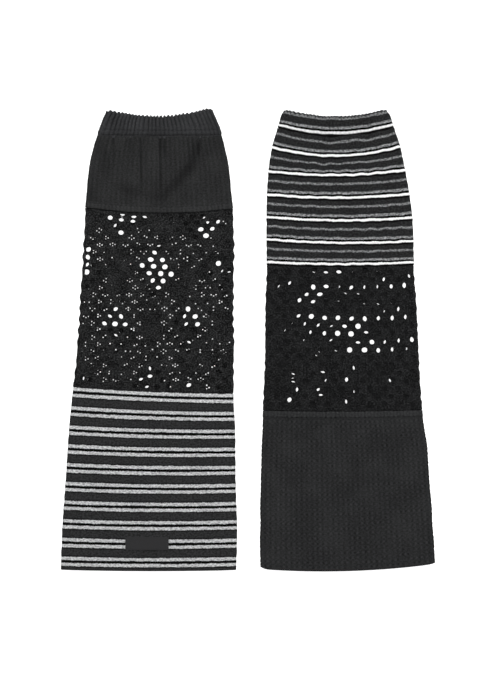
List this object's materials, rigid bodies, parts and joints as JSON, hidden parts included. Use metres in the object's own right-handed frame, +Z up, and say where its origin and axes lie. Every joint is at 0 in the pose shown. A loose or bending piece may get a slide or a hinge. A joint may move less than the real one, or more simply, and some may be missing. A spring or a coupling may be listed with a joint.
{
  "type": "pair of leg warmers",
  "caption": "Pair of knitted leg warmers laid flat: gathered elastic top, upper panel, open lace middle and wider lower panel on each.",
  "frame": {"origin": "centre of the pair's bounding box, on the surface it lies on", "axes": "+Z up from the surface, +Y along the legs towards the gathered ends, +X across the pair from the left leg warmer to the right one"},
  "size_m": [0.3849, 0.4757, 0.0086],
  "materials": {
    "waffle_knit": "matt black waffle knit",
    "lace_knit": "matt black lace knit with large and small holes",
    "net_knit": "matt black hexagonal net",
    "striped_jersey": "black jersey with pairs of heather grey stripes",
    "lined_knit": "black soft knit with white and grey lines",
    "label_tape": "smooth black woven tape"
  },
  "bodies": {
    "root": {"a_casing": "waffle_knit", "a_upper": "waffle_knit", "a_lace_front": "lace_knit", "a_lace_back": "lace_knit", "a_lower": "striped_jersey", "a_label": "label_tape", "b_casing": "lined_knit", "b_upper": "lined_knit", "b_lace": "net_knit", "b_lower": "waffle_knit"}
  },
  "joints": []
}
